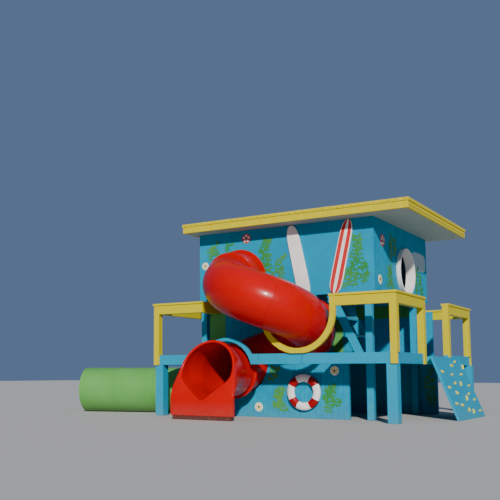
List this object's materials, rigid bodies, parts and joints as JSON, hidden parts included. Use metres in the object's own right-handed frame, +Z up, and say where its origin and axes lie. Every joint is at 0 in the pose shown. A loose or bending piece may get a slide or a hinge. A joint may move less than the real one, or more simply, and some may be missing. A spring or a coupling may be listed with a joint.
{
  "type": "water slide tower",
  "caption": "Raised play deck with a roofed cabin, a looping tube slide through the front rail, a climbing ramp and a crawl tunnel.",
  "frame": {"origin": "foot of the front left deck post, at the middle of its section", "axes": "+X along the deck's front towards the climbing ramp, +Y towards the back, +Z up"},
  "size_m": [8.4771, 6.044, 4.072],
  "materials": {
    "blue_paint": "satin",
    "blue_boards": "painted satin",
    "yellow_paint": "satin",
    "green_boards": "painted satin",
    "green_plastic": "satin moulded",
    "red_plastic": "glossy moulded",
    "dark_red_rubber": "matte",
    "white_plastic": "satin moulded",
    "soffit_boards": "painted matte",
    "ramp_plastic": "satin moulded"
  },
  "bodies": {
    "root": {"front_left_deck_post": "blue_paint", "front_right_deck_post": "blue_paint", "back_left_deck_post": "blue_paint", "back_right_deck_post": "blue_paint", "front_beam_left": "blue_paint", "front_beam_right": "blue_paint", "left_beam": "blue_paint", "right_beam": "blue_paint", "back_beam": "blue_paint", "front_left_cabin_post": "blue_paint", "front_right_cabin_post": "blue_paint", "mid_left_cabin_post": "blue_paint", "mid_right_cabin_post": "blue_paint", "back_left_cabin_post": "blue_paint", "back_right_cabin_post": "blue_paint", "deck_floor": "blue_boards", "front_right_rail": "yellow_paint", "front_left_rail": "yellow_paint", "back_rail": "yellow_paint", "left_rail": "yellow_paint", "near_right_rail": "yellow_paint", "far_right_rail": "yellow_paint", "cabin_front_wall": "blue_boards", "cabin_back_wall": "blue_boards", "cabin_left_wall": "blue_boards", "cabin_right_wall": "blue_boards", "cabin_floor": "blue_boards", "porthole_collar": "white_plastic", "roof_soffit": "soffit_boards", "front_fascia": "yellow_paint", "back_fascia": "yellow_paint", "left_fascia": "yellow_paint", "right_fascia": "yellow_paint", "roof_cap": "yellow_paint", "slide_entry": "red_plastic", "slide_upper_bend_1": "red_plastic", "slide_upper_bend_middle": "red_plastic", "slide_upper_bend_2": "red_plastic", "slide_lower_bend_1": "red_plastic", "slide_lower_bend_2": "red_plastic", "slide_exit": "red_plastic", "slide_exit_base": "dark_red_rubber", "slide_ring": "yellow_paint", "slide_exit_arch": "blue_paint", "lower_front_wall": "blue_boards", "lower_back_wall": "blue_boards", "lower_left_wall": "blue_boards", "screen_board_left": "green_boards", "screen_panel": "blue_boards", "screen_board_middle": "green_boards", "screen_board_right": "blue_boards", "deck_back_wall": "blue_boards", "back_rail_board": "blue_boards", "cabin_back_beam": "green_boards", "cabin_stair": "blue_paint", "climbing_ramp": "ramp_plastic", "tunnel_tube": "green_plastic", "tunnel_bend": "green_plastic"}
  },
  "joints": []
}
